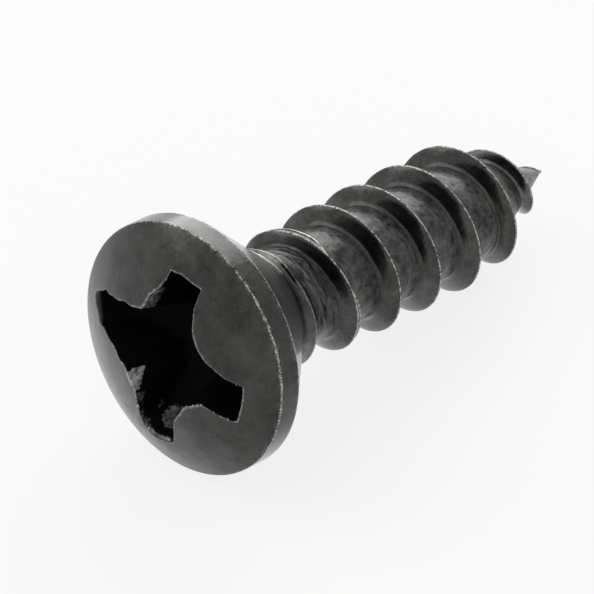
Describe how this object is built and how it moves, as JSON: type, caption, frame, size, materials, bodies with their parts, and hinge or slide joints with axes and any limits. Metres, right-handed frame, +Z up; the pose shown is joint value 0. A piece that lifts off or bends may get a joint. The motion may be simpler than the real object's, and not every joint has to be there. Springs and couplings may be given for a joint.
{
  "type": "sheet metal screw",
  "caption": "Self-tapping sheet metal screw with a raised countersunk head, a cross recess, a coarse right-hand thread and a gimlet point, in black oxide steel.",
  "frame": {"origin": "on the surface that the screw lies on, under the middle of its bounding box", "axes": "+Z up; the screw's axis lies in the XZ plane, with the point towards +X and dipping about 10 degrees, because the screw rests on the rim of its head and on one crest of its thread"},
  "size_m": [0.0134, 0.0064, 0.0064],
  "materials": {
    "black_oxide": "satin black oxide over steel, worn bright along the edges"
  },
  "bodies": {
    "root": {"screw": "black_oxide"}
  },
  "joints": []
}
